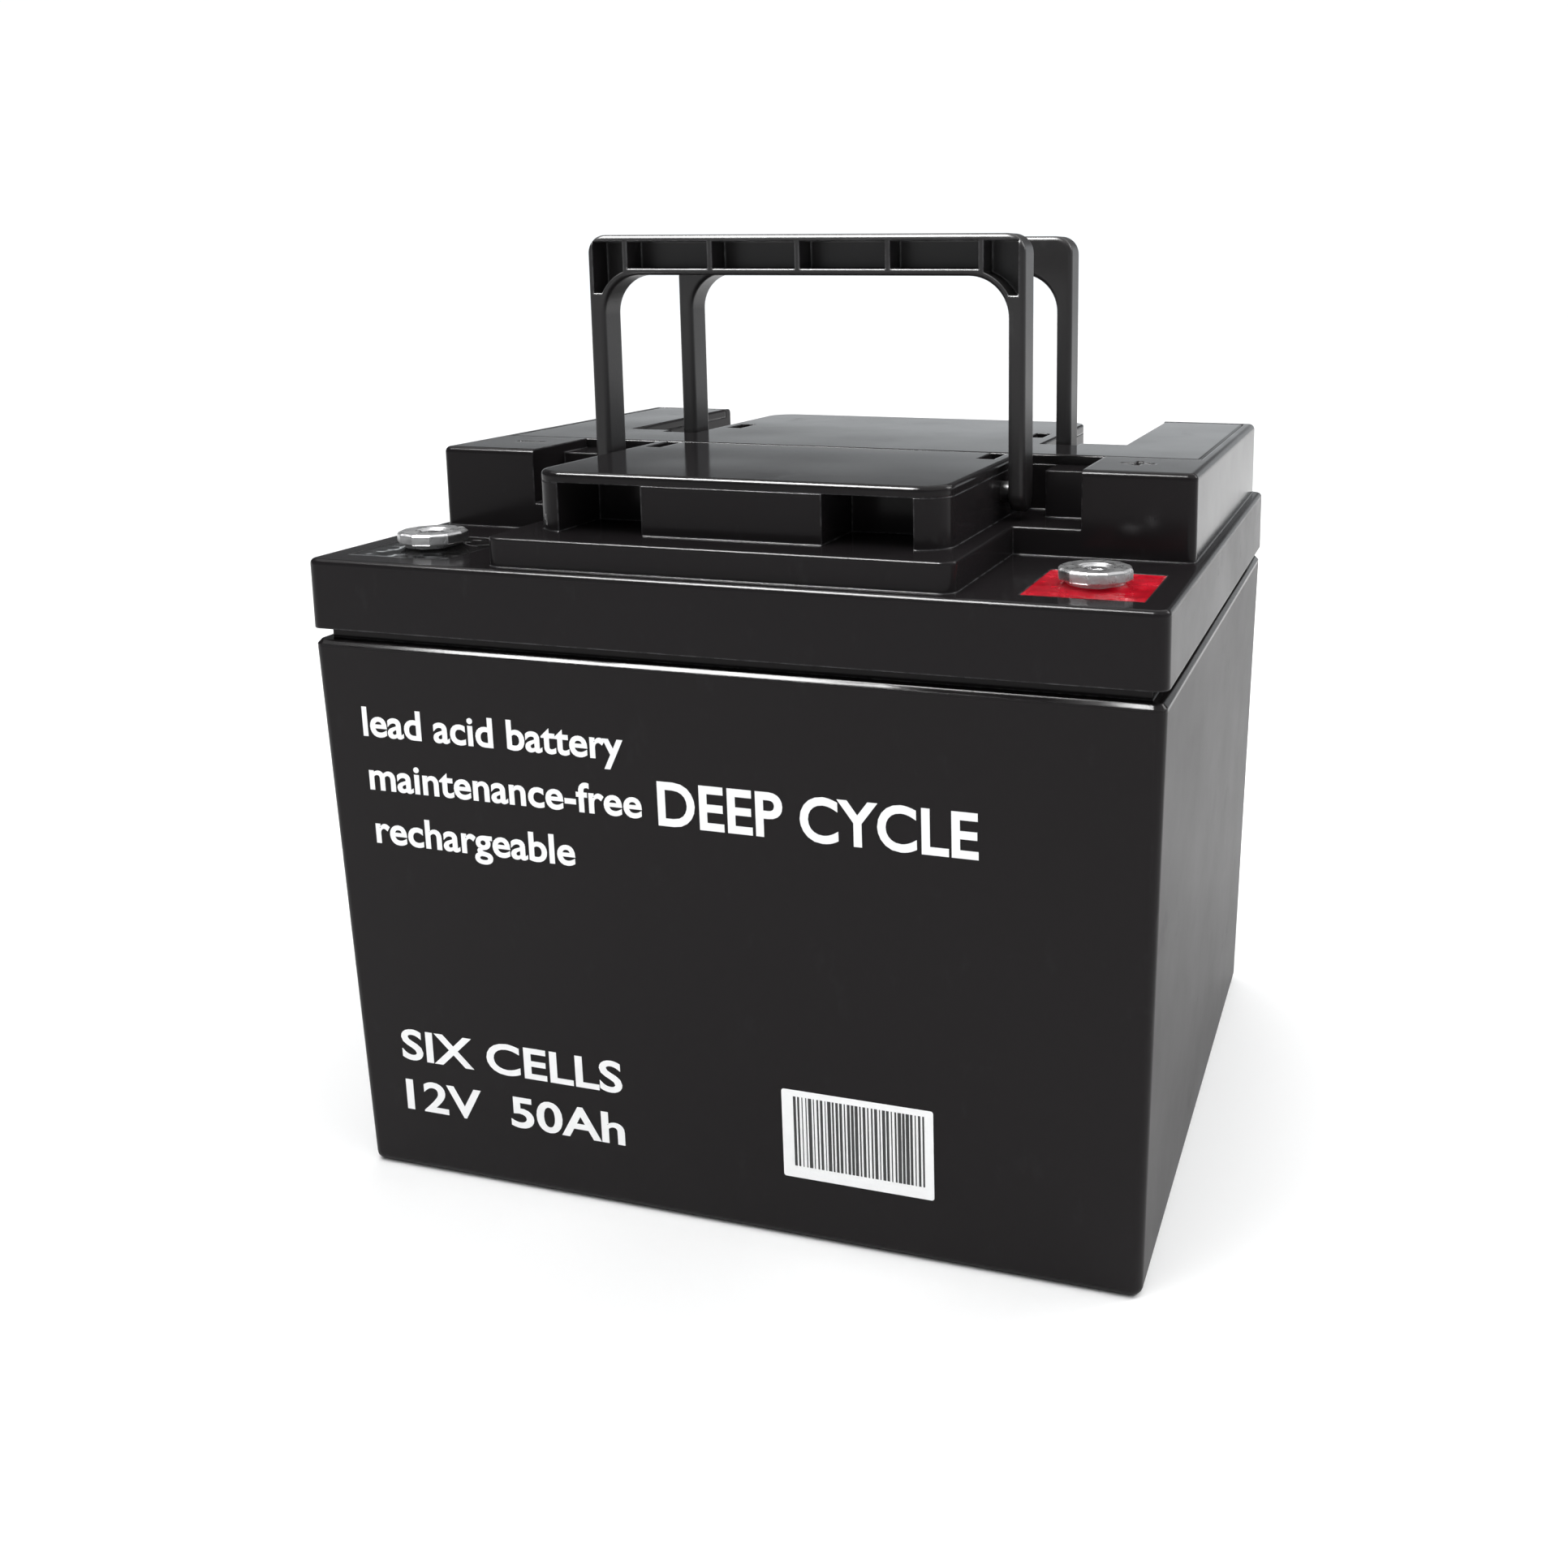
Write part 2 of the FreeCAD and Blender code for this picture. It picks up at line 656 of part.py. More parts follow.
def on_handle_face(edge):
    """True for an edge of the outer or inner flat face of a handle."""
    from_middle = abs(edge.BoundBox.YMin + SIZES["pivot_place"])
    return span(edge)[1] < TOUCHING and abs(from_middle - SIZES["handle_depth"] / 2) < TOUCHING


# Carrying handle: a U with ribbed pockets in the outer face of its bar and a pin on each foot.
def make_handle(label, turn):
    body = new_body(label)
    foot = "pivot_height - handle_depth / 2"
    outline = [
        ("-handle_side", foot),
        ("-handle_side + handle_leg", foot),
        ("-handle_side + handle_leg", "handle_top - handle_bar"),
        ("handle_side - handle_leg", "handle_top - handle_bar"),
        ("handle_side - handle_leg", foot),
        ("handle_side", foot),
        ("handle_side", "handle_top"),
        ("-handle_side", "handle_top"),
    ]
    back = "pivot_place - handle_depth / 2"
    front = "pivot_place + handle_depth / 2"
    add(body, "Loop", [outline], back, front, "XZ_Plane")
    top = number("handle_top")
    under = number("handle_top - handle_bar")
    sole = number(foot)
    dress(body, "Fillet", "OuterCorners", lambda edge: crosses_bar(edge, top), "handle_outer_round")
    dress(body, "Fillet", "InnerCorners", lambda edge: crosses_bar(edge, under), "handle_inner_round")
    dress(body, "Fillet", "Feet", lambda edge: on_handle_face(edge) and lies_at(edge, sole), "foot_round")
    dress(body, "Fillet", "Edges", on_handle_face, "handle_edge")
    pockets = []
    for step in range(-RIBS_EACH_SIDE, RIBS_EACH_SIDE):
        left = times("rib_pitch", step) + " + rib_wall / 2"
        right = times("rib_pitch", step + 1) + " - rib_wall / 2"
        pockets.append(box(left, right, "handle_top - handle_bar + bar_wall", "handle_top - bar_wall"))
    cut(body, "BarPockets", pockets, "pivot_place + handle_depth / 2 - pocket_depth", front, "XZ_Plane")
    for corner in (-1, 1):
        before = body.Shape.Volume
        pocket = body.newObject("PartDesign::Pocket", "Corner")
        pocket.Profile = corner_pocket(body, corner)
        bind(pocket, "Length", "pocket_depth")
        doc.recompute()
        if not body.Shape.Volume < before - TOUCHING:
            raise RuntimeError(f"{label}: a corner pocket removes nothing")
    pin = ("disc", "-pivot_place", "pivot_height", "pin_radius")
    inside = "block_side - pin_depth"
    outside = "handle_side - handle_leg + pin_root"
    add(body, "RightPin", [pin], inside, outside, "YZ_Plane")
    add(body, "LeftPin", [pin], mirrored(outside), mirrored(inside), "YZ_Plane")
    place(body, turn=turn)
    return body


# Terminal: plated brass insert with a round contact face and a threaded hole.
def make_terminal(label, side):
    body = new_body(label)
    outline = [
        ("0", "shank_bottom"),
        ("shank_radius", "shank_bottom"),
        ("shank_radius", "resin_top"),
        ("collar_radius", "resin_top"),
        ("collar_radius", "terminal_top - terminal_disc"),
        ("terminal_radius", "terminal_top - terminal_disc"),
        ("terminal_radius", "terminal_top - terminal_bevel"),
        ("terminal_radius - terminal_bevel", "terminal_top"),
        ("0", "terminal_top"),
    ]
    turned = body.newObject("PartDesign::Revolution", "Turned")
    turned.Profile = new_sketch(body, "Turned", [outline], "0", "XZ_Plane")
    turned.ReferenceAxis = (turned.Profile[0], ["V_Axis"])
    doc.recompute()
    thread = new_sketch(body, "Thread", [("disc", "0", "0", "shank_radius / 2")], "terminal_top")
    doc.recompute()
    hole = body.newObject("PartDesign::Hole", "ThreadedHole")
    hole.Profile = thread
    doc.recompute()
    hole.Threaded = True
    hole.ThreadType = "ISOMetricProfile"
    hole.ThreadSize = "M6x1.0"
    hole.DepthType = "Dimension"
    bind(hole, "Depth", "thread_depth")
    hole.DrillPoint = "Flat"
    doc.recompute()
    place(body, f"{side}terminal_side", "-terminal_front")
    return body


# Lead post between the end cell's strap and the terminal insert.
def make_post(label, side):
    post = doc.addObject("Part::Cylinder", label)
    post.Label = label
    bind(post, "Radius", "shank_radius")
    bind(post, "Height", "shank_bottom - strap_top")
    place(post, f"{side}terminal_side", "-terminal_front", "strap_top")
    return post


# Rubber ring that seals the terminal shank under the resin.
def make_ring(label, side):
    ring = doc.addObject("Part::Torus", label)
    ring.Label = label
    bind(ring, "Radius1", "ring_radius")
    bind(ring, "Radius2", "ring_section")
    place(ring, f"{side}terminal_side", "-terminal_front", "ring_seat_floor + ring_section")
    return ring


# Square pool of resin cast round the terminal; the positive one is coloured.
def make_terminal_resin(label, side):
    body = new_body(label)
    low = "-resin_front + terminal_front"
    high = "-resin_rear + terminal_front"
    pool = box("-resin_half_width", "resin_half_width", low, high)
    add(body, "Pool", [pool], "roof_under", "resin_top")
    cut(body, "ShankHole", [("disc", "0", "0", "shank_radius")], "roof_under", "resin_top")
    place(body, f"{side}terminal_side", "-terminal_front")
    return body


def repeat(body, features, count):
    """Repeat features across the cell at the pitch of the plates."""
    row = body.newObject("PartDesign::LinearPattern", "Row")
    row.Originals = features
    row.Direction = (origin_item(body, "X_Axis"), [""])
    row.Occurrences = count
    bind(row, "Length", f"plate_pitch * {count - 1}")
    body.Tip = row
    doc.recompute()


def at_end(end, low, high):
    """Two formulas of places at the rear end of a cell, or mirrored to its front end."""
    return (low, high) if end > 0 else (mirrored(high), mirrored(low))


# Pasted lead plates of one cell and polarity, each with a lug that stands up at one end.
def make_plates(label, cell, count, thickness, end):
    body = new_body(label, True)
    low, high = at_end(end, "plate_lug_place - plate_lug_half", "plate_lug_place + plate_lug_half")
    outline = [
        ("-plate_half_depth", "plate_bottom"),
        ("plate_half_depth", "plate_bottom"),
        ("plate_half_depth", "plate_top"),
        (high, "plate_top"),
        (high, "plate_lug_top"),
        (low, "plate_lug_top"),
        (low, "plate_top"),
        ("-plate_half_depth", "plate_top"),
    ]
    first = times("plate_pitch", (1 - count) / 2)
    left = f"{first} - {thickness} / 2"
    plate = add(body, "Plate", [outline], left, f"{first} + {thickness} / 2", "YZ_Plane")
    repeat(body, [plate], count)
    place(body, cell_middle(cell))
    return body


# Glass mat separators of one cell, one on each side of every positive plate.
def make_separators(label, cell):
    body = new_body(label, True)
    mat = box("-separator_half_depth", "separator_half_depth", "separator_bottom", "separator_top")
    first = times("plate_pitch", (1 - NEGATIVE_PLATES) / 2) + " + negative_plate / 2"
    left = add(body, "LeftMat", [mat], first, f"{first} + separator_sheet", "YZ_Plane")
    first = times("plate_pitch", (3 - NEGATIVE_PLATES) / 2) + " - negative_plate / 2"
    right = add(body, "RightMat", [mat], f"{first} - separator_sheet", first, "YZ_Plane")
    repeat(body, [left, right], POSITIVE_PLATES)
    place(body, cell_middle(cell))
    return body


# Lead strap cast on to the lugs, with an ear on the side where it is welded through the partition.
def make_strap(label, cell, end, ear):
    body = new_body(label)
    bar = box("-strap_half_length", "strap_half_length", *at_end(end, "strap_front", "strap_rear"))
    add(body, "Bar", [bar], "plate_lug_top", "strap_top")
    if ear:
        side = at_end(ear, "strap_half_length - ear_wall", "strap_half_length")
        add(body, "Ear", [box(*side, *at_end(end, "ear_front", "ear_rear"))], "strap_top", "ear_top")
    place(body, cell_middle(cell))
    return body


# Welds between the ears of neighbouring cells, one through each partition.
def make_welds():
    welds = []
    for wall in CELLS[:-1]:
        weld = doc.addObject("Part::Cylinder", f"Weld{wall}")
        weld.Placement.Rotation = FreeCAD.Rotation(FreeCAD.Vector(0, 1, 0), 90)
        bind(weld, "Radius", "weld_radius")
        bind(weld, "Height", "cell_pitch - strap_half_length * 2")
        bind(weld, "Placement.Base.x", f"{cell_middle(wall)} + strap_half_length")
        bind(weld, "Placement.Base.y", f"{'' if wall % 2 else '-'}plate_lug_place")
        bind(weld, "Placement.Base.z", "weld_height")
        welds.append(weld)
    group = doc.addObject("Part::Compound", "partition_welds")
    group.Label = "partition_welds"
    group.Links = welds
    place(group)
    return group


sub_parts = [make_container(), make_sealing_resin(), make_lid(), make_front_cover(), make_rear_cover()]
sub_parts += [make_handle("front_handle", 0), make_handle("rear_handle", 180)]
for pole, side in (("positive", ""), ("negative", "-")):
    sub_parts.append(make_terminal(f"{pole}_terminal", side))
    sub_parts.append(make_post(f"{pole}_post", side))
    sub_parts.append(make_ring(f"{pole}_terminal_ring", side))
    sub_parts.append(make_terminal_resin(f"{pole}_terminal_resin", side))
for cell in CELLS:
    # The negative strap is at the front in odd cells and at the rear in even ones.
    end = -1 if cell % 2 else 1
    name = f"cell_{cell}"
    sub_parts.append(make_valve_cap(cell))
    sub_parts.append(make_plates(f"{name}_positive_plates", cell, POSITIVE_PLATES, "positive_plate", -end))
    sub_parts.append(make_plates(f"{name}_negative_plates", cell, NEGATIVE_PLATES, "negative_plate", end))
    sub_parts.append(make_separators(f"{name}_separators", cell))
    sub_parts.append(make_strap(f"{name}_positive_strap", cell, -end, 0 if cell == CELL_COUNT else 1))
    sub_parts.append(make_strap(f"{name}_negative_strap", cell, end, 0 if cell == 1 else -1))
sub_parts.append(make_welds())
doc.recompute()

for item in doc.Objects:
    if "Invalid" in item.State or "Error" in item.State:
        raise RuntimeError(f"{item.Label} failed: {item.State}")
for item in sub_parts:
    if item.Shape.isNull() or not item.Shape.isValid():
        raise RuntimeError(f"{item.Label} has no valid shape")
os.makedirs("parts", exist_ok=True)
for item in sub_parts:
    item.Shape.exportStep(f"parts/{item.Label}.step")
print(len(sub_parts), "sub-parts")
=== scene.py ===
import math
import random

import bmesh
import bpy
from mathutils import Matrix, Vector


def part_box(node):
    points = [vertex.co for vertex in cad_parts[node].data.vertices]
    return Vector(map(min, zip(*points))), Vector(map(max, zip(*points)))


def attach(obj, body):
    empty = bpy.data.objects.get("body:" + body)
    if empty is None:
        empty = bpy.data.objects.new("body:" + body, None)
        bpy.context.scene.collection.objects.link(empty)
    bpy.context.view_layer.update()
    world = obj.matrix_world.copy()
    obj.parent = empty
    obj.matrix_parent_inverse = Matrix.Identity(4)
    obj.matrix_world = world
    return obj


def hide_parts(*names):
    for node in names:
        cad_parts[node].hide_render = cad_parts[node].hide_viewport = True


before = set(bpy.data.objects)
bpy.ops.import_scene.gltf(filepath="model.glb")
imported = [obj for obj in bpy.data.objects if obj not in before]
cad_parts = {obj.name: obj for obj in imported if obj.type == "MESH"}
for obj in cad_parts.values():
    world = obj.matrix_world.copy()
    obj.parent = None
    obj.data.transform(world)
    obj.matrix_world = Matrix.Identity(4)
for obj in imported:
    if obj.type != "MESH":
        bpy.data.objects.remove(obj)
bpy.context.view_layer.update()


# Container: a six-cell tub injection-moulded in black ABS, with drafted walls and a polished outside.
# The plastic keeps the fine grain of the mould, sinks a little between its ribs, and is rubbed where
# it has been handled.
def node(tree, kind, inputs=None, **options):
    """Adds a node, sets its options, and joins a socket or writes a value to each input."""
    made = tree.nodes.new(kind)
    for option, value in options.items():
        setattr(made, option, value)
    for key, value in (inputs or {}).items():
        if isinstance(value, bpy.types.NodeSocket):
            tree.links.new(value, made.inputs[key])
        else:
            made.inputs[key].default_value = value
    return made


def blank_material(name):
    """A material with only its Principled shader, and the object's own coordinates."""
    material = bpy.data.materials.new(name)
    material.use_nodes = True
    tree = material.node_tree
    place = node(tree, "ShaderNodeTexCoord").outputs["Object"]
    return material, tree, tree.nodes["Principled BSDF"], place


def noise(tree, place, scale, detail=3.0, roughness=0.5, stretch=(1, 1, 1)):
    """Noise whose features are about 1/scale metres across, drawn out by a stretch along each axis."""
    turned = node(tree, "ShaderNodeMapping", {"Vector": place, "Scale": stretch})
    settings = {"Vector": turned.outputs["Vector"], "Scale": scale, "Detail": detail, "Roughness": roughness}
    return node(tree, "ShaderNodeTexNoise", settings).outputs["Fac"]


def spread(tree, value, low, high, to_low, to_high):
    """Maps a value from low..high to to_low..to_high and holds it there."""
    settings = {"Value": value, "From Min": low, "From Max": high, "To Min": to_low, "To Max": to_high}
    return node(tree, "ShaderNodeMapRange", settings, clamp=True).outputs["Result"]


def tint(tree, value, first, second):
    """A colour between first and second, chosen by a value from 0 to 1."""
    ramp = node(tree, "ShaderNodeValToRGB", {"Fac": value})
    ramp.color_ramp.elements[0].color = (*first, 1)
    ramp.color_ramp.elements[1].color = (*second, 1)
    return ramp.outputs["Color"]


def relief(tree, height, depth, under=None):
    """Bump of a depth in metres, laid on the normal of a coarser layer."""
    inputs = {"Height": height, "Distance": depth, "Strength": 1.0}
    if under is not None:
        inputs["Normal"] = under
    return node(tree, "ShaderNodeBump", inputs).outputs["Normal"]


def highlit_and_worn_edges(tree, place, normal, highlight_and_wear):
    """A painted edge highlight and edge wear: 1 along sharp edges and 0 on flats, broken up as handling
    breaks wear up, times a strength of 0 to 1.
    """
    flat = node(tree, "ShaderNodeNewGeometry").outputs["True Normal"]
    bent = node(tree, "ShaderNodeVectorMath", {0: normal, 1: flat}, operation="DOT_PRODUCT").outputs["Value"]
    along = spread(tree, bent, 0.99, 0.86, 0.0, highlight_and_wear)
    patches = spread(tree, noise(tree, place, 260, detail=5, roughness=0.7), 0.4, 0.62, 0.15, 1.0)
    return node(tree, "ShaderNodeMath", {0: along, 1: patches}, operation="MULTIPLY").outputs[0]


def moulded_plastic(name, dark, worn, gloss, grain, specular, edge, highlight_and_wear, coarse=None):
    """Moulded plastic: soft edges painted paler as a painted highlight and as wear, slow sinking, mould
    grain, and rubs that are paler and duller.

    Coarse is a height and a roughness: below that height the mould is less polished.
    """
    material, tree, shader, place = blank_material(name)
    clouds = noise(tree, place, 34, detail=5, roughness=0.6)
    rubs = noise(tree, place, 130, detail=6, roughness=0.72, stretch=(1, 0.35, 0.5))
    rubbed = spread(tree, rubs, 0.6, 0.78, 0.0, 1.0)
    soft_edge = node(tree, "ShaderNodeBevel", {"Radius": edge}, samples=8).outputs["Normal"]
    edge_highlight_and_wear_mask = highlit_and_worn_edges(tree, place, soft_edge, highlight_and_wear)
    shade = tint(tree, rubbed, dark, worn)
    # Edges are painted paler: a painted highlight along them, and wear.
    edge_highlight_and_wear_tint = node(tree, "ShaderNodeMix", {0: edge_highlight_and_wear_mask, 6: shade, 7: (0.3, 0.3, 0.31, 1)}, data_type="RGBA")
    tree.links.new(edge_highlight_and_wear_tint.outputs[2], shader.inputs["Base Color"])
    mixed = node(tree, "ShaderNodeMath", {0: rubbed, 1: 0.5, 2: clouds}, operation="MULTIPLY_ADD").outputs[0]
    polish = spread(tree, mixed, 0.3, 1.1, *gloss)
    if coarse:
        up = node(tree, "ShaderNodeSeparateXYZ", {0: place}).outputs["Z"]
        extra = spread(tree, up, coarse[0] - 0.001, coarse[0], coarse[1], 0.0)
        polish = node(tree, "ShaderNodeMath", {0: polish, 1: extra}, operation="ADD").outputs[0]
    tree.links.new(polish, shader.inputs["Roughness"])
    sinking = relief(tree, noise(tree, place, 17, detail=1), 0.00022, soft_edge)
    grained = relief(tree, noise(tree, place, 1900, detail=2), grain, sinking)
    tree.links.new(grained, shader.inputs["Normal"])
    shader.inputs["Specular IOR Level"].default_value = specular
    return material


def dress(material, *names):
    """Gives CAD nodes a material in place of their plain one."""
    for name in names:
        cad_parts[name].data.materials[0] = material


case_shoulder, shoulder_bevel = 0.1312, 0.001
case_plastic = moulded_plastic(
    "case_plastic", (0.0108, 0.0093, 0.0098), (0.0142, 0.0132, 0.0139), (0.11, 0.19),
    0.000006, 0.1, 0.0005, 0.2, coarse=(case_shoulder - shoulder_bevel, 0.25),
)
dress(case_plastic, "container")


# Front print: words screen-printed in white on the container's front wall, which leans in towards the
# foot by its draft. The ink stands a few hundredths of a millimetre proud.
case_front, case_draft = -0.0822, 0.0034
ink_proud, ink_sunk = 0.00006, 0.00004
wall_up = Vector((0, -case_draft, case_shoulder)).normalized()
wall_out = Vector((0, -case_shoulder, -case_draft)).normalized()


def on_front_wall(across, up, out):
    """The place of a point that lies across and up the front wall, and out from it."""
    foot = Vector((across, case_front + case_draft, 0))
    return foot + wall_up * (up / wall_up.z) + wall_out * out


def white_ink():
    """Screen ink, dense and satin, with pinholes and a slightly ragged film."""
    material, tree, shader, place = blank_material("white_ink")
    film = noise(tree, place, 700, detail=5, roughness=0.65)
    tree.links.new(tint(tree, film, (0.93, 0.93, 0.93), (1.0, 1.0, 1.0)), shader.inputs["Base Color"])
    tree.links.new(spread(tree, film, 0.3, 0.7, 0.62, 0.42), shader.inputs["Roughness"])
    tree.links.new(relief(tree, film, 0.00002), shader.inputs["Normal"])
    return material


def finished_piece(name, mesh, material, body="root"):
    """Puts a mesh in the scene as a piece that rides on a body."""
    piece = bpy.data.objects.new(name, mesh)
    bpy.context.scene.collection.objects.link(piece)
    if not mesh.materials:
        mesh.materials.append(material)
    mesh.materials[0] = material
    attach(piece, body)
    return piece


def printed_line(name, words, left, right, baseline, height):
    """A line of words as a thin slab of ink, stretched to its place on the wall."""
    curve = bpy.data.curves.new(name, "FONT")
    curve.body = words
    curve.extrude = 0.5
    curve.offset = 0.02
    curve.resolution_u = 5
    letters = bpy.data.objects.new(name, curve)
    bpy.context.scene.collection.objects.link(letters)
    bpy.context.view_layer.update()
    mesh = bpy.data.meshes.new_from_object(letters.evaluated_get(bpy.context.evaluated_depsgraph_get()))
    bpy.data.objects.remove(letters)
    lefts = [vertex.co.x for vertex in mesh.vertices]
    wide = (right - left) / (max(lefts) - min(lefts))
    tall = height / max(vertex.co.y for vertex in mesh.vertices)
    first = min(lefts)
    for vertex in mesh.vertices:
        out = ink_proud if vertex.co.z > 0 else -ink_sunk
        vertex.co = on_front_wall(left + (vertex.co.x - first) * wide, baseline + vertex.co.y * tall, out)
    return mesh


def welded(mesh):
    """Merges doubled points and turns every face outwards."""
    work = bmesh.new()
    work.from_mesh(mesh)
    bmesh.ops.remove_doubles(work, verts=work.verts, dist=0.000002)
    bmesh.ops.recalc_face_normals(work, faces=work.faces)
    work.to_mesh(mesh)
    work.free()
    return mesh


ink = white_ink()
for name, words, left, right, baseline, height in (
    ("print_kind", "lead acid battery", -0.0866, -0.0203, 0.1094, 0.0068),
    ("print_upkeep", "maintenance-free", -0.0861, -0.0165, 0.0965, 0.0068),
    ("print_charging", "rechargeable", -0.0856, -0.0337, 0.0835, 0.0068),
    ("print_title", "DEEP CYCLE", -0.0126, 0.0600, 0.0955, 0.0100),
    ("print_cells", "SIX CELLS", -0.0838, -0.0253, 0.0290, 0.0077),
    ("print_rating", "12V  50Ah", -0.0836, -0.0254, 0.0159, 0.0077),
):
    printed = welded(printed_line(name, words, left, right, baseline, height))
    finished_piece(name, printed, ink)


# Bar panel: a white printed rectangle with a row of black bars of uneven width. It stands for nothing,
# and has no digits.
panel_left, panel_right, panel_foot, panel_top = 0.0141, 0.0493, 0.0153, 0.0366
bars_left, bars_right, bars_foot, bars_top = 0.0167, 0.0475, 0.0182, 0.0351
corner_round, corner_steps = 0.0006, 6


def rounded_corners(left, right, low, high, radius, steps):
    """Points anticlockwise round a rectangle with rounded corners."""
    points = []
    for turn, (across, up) in enumerate(((right, high), (left, high), (left, low), (right, low))):
        middle = (across - math.copysign(radius, across - (left + right) / 2),
                  up - math.copysign(radius, up - (low + high) / 2))
        for step in range(steps + 1):
            angle = math.pi / 2 * (turn + step / steps)
            points.append((middle[0] + radius * math.cos(angle), middle[1] + radius * math.sin(angle)))
    return points


def slab(name, outline, placed, low, high):
    """A closed plate with a given outline between two depths."""
    count = len(outline)
    points = [placed(across, up, depth) for depth in (low, high) for across, up in outline]
    sides = [(i, (i + 1) % count, count + (i + 1) % count, count + i) for i in range(count)]
    mesh = bpy.data.meshes.new(name)
    mesh.from_pydata(points, [], sides + [tuple(range(count)), tuple(range(count, 2 * count))])
    return welded(mesh)


panel_outline = rounded_corners(panel_left, panel_right, panel_foot, panel_top, corner_round, corner_steps)
panel_mesh = slab("bar_panel", panel_outline, on_front_wall, -ink_sunk, ink_proud)
finished_piece("bar_panel", panel_mesh, ink)


def black_ink():
    """Black screen ink over the white, a touch glossier where it is thick."""
    material, tree, shader, place = blank_material("black_ink")
    film = noise(tree, place, 900, detail=4)
    tree.links.new(tint(tree, film, (0.012, 0.012, 0.012), (0.03, 0.03, 0.03)), shader.inputs["Base Color"])
    tree.links.new(spread(tree, film, 0.3, 0.7, 0.5, 0.3), shader.inputs["Roughness"])
    tree.links.new(relief(tree, film, 0.00001), shader.inputs["Normal"])
    return material


def new_geometry_tree(name, sizes):
    """A Geometry Nodes tree with named sizes, and its group input and output nodes."""
    tree = bpy.data.node_groups.new(name, "GeometryNodeTree")
    for label, kind, value in sizes:
        socket = tree.interface.new_socket(label, in_out="INPUT", socket_type=kind)
        socket.default_value = value
    tree.interface.new_socket("Geometry", in_out="OUTPUT", socket_type="NodeSocketGeometry")
    return tree, tree.nodes.new("NodeGroupInput").outputs, tree.nodes.new("NodeGroupOutput").inputs


def grow(name, tree, sizes):
    """Runs a Geometry Nodes tree with these sizes, and returns what it makes as a plain mesh."""
    piece = bpy.data.objects.new(name, bpy.data.meshes.new(name))
    bpy.context.scene.collection.objects.link(piece)
    modifier = piece.modifiers.new("grow", "NODES")
    modifier.node_group = tree
    for socket in tree.interface.items_tree:
        if socket.in_out == "INPUT" and socket.name in sizes:
            modifier[socket.identifier] = sizes[socket.name]
    bpy.context.view_layer.update()
    mesh = bpy.data.meshes.new_from_object(piece.evaluated_get(bpy.context.evaluated_depsgraph_get()))
    piece.modifiers.remove(modifier)
    bpy.data.objects.remove(piece)
    mesh.name = name
    return mesh


def uneven_bars_tree(material):
    """A row of upright bars along X on a fixed pitch, each with a width drawn from a range."""
    tree, given, made = new_geometry_tree("uneven_bars", (
        ("Count", "NodeSocketInt", 10),
        ("Pitch", "NodeSocketFloat", 0.001),
        ("Thinnest", "NodeSocketFloat", 0.2),
        ("Widest", "NodeSocketFloat", 0.9),
        ("Height", "NodeSocketFloat", 0.01),
        ("Thickness", "NodeSocketFloat", 0.0001),
        ("Seed", "NodeSocketInt", 1),
    ))
    step = node(tree, "ShaderNodeCombineXYZ", {"X": given["Pitch"]})
    row = node(tree, "GeometryNodeMeshLine", {"Count": given["Count"], "Offset": step.outputs[0]})
    size = node(tree, "ShaderNodeCombineXYZ",
                {"X": given["Pitch"], "Y": given["Height"], "Z": given["Thickness"]})
    bar = node(tree, "GeometryNodeMeshCube", {"Size": size.outputs[0]})
    share = node(tree, "FunctionNodeRandomValue", data_type="FLOAT")
    for socket in share.inputs:
        if socket.type == "VALUE" and socket.name in ("Min", "Max"):
            tree.links.new(given["Thinnest" if socket.name == "Min" else "Widest"], socket)
    tree.links.new(given["Seed"], share.inputs["Seed"])
    width = next(socket for socket in share.outputs if socket.type == "VALUE")
    scale = node(tree, "ShaderNodeCombineXYZ", {"X": width, "Y": 1.0, "Z": 1.0})
    placed = node(tree, "GeometryNodeInstanceOnPoints",
                  {"Points": row.outputs["Mesh"], "Instance": bar.outputs["Mesh"], "Scale": scale.outputs[0]})
    real = node(tree, "GeometryNodeRealizeInstances", {"Geometry": placed.outputs["Instances"]})
    painted = node(tree, "GeometryNodeSetMaterial", {"Geometry": real.outputs[0], "Material": material})
    tree.links.new(painted.outputs[0], made["Geometry"])
    return tree


bar_count, bar_proud, bar_seed = 34, 0.00003, 7
bar_pitch = (bars_right - bars_left) / bar_count
bar_ink = black_ink()
bars_mesh = grow("bar_panel_bars", uneven_bars_tree(bar_ink), {
    "Count": bar_count, "Pitch": bar_pitch, "Height": bars_top - bars_foot,
    "Thickness": 2 * bar_proud, "Seed": bar_seed,
})
for vertex in bars_mesh.vertices:
    across = bars_left + bar_pitch / 2 + vertex.co.x
    vertex.co = on_front_wall(across, (bars_foot + bars_top) / 2 + vertex.co.y, ink_proud + vertex.co.z)
finished_piece("bar_panel_bars", welded(bars_mesh), bar_ink)


